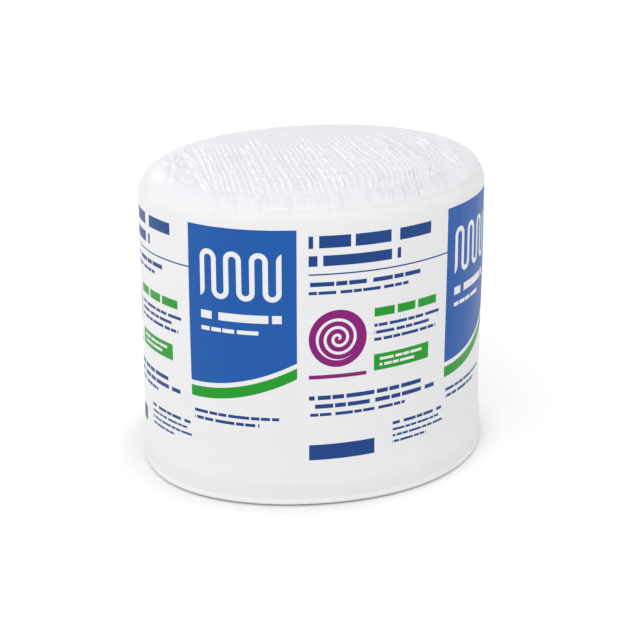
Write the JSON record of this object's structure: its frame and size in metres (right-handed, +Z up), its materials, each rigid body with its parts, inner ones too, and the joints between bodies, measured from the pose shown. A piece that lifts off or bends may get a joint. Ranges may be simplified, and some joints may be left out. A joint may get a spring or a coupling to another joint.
{
  "type": "roll of kraft-faced fiberglass insulation",
  "caption": "Roll of kraft-faced fiberglass batt standing on its end, in a printed film wrap that is lapped up the back and pleated over both ends.",
  "frame": {"origin": "middle of the foot, on the floor, on the axis of the winding", "axes": "+Z up the axis of the winding, X along the long axis of the oval plan, +Y towards the film's lap seam"},
  "size_m": [0.478, 0.4153, 0.3873],
  "materials": {
    "fiberglass": "soft white wool with a brown kraft line between the turns",
    "printed_film": "satin white polyethylene film with printed panels"
  },
  "bodies": {
    "root": {"insulation_roll": "fiberglass", "film_wrap": "printed_film"}
  },
  "joints": []
}
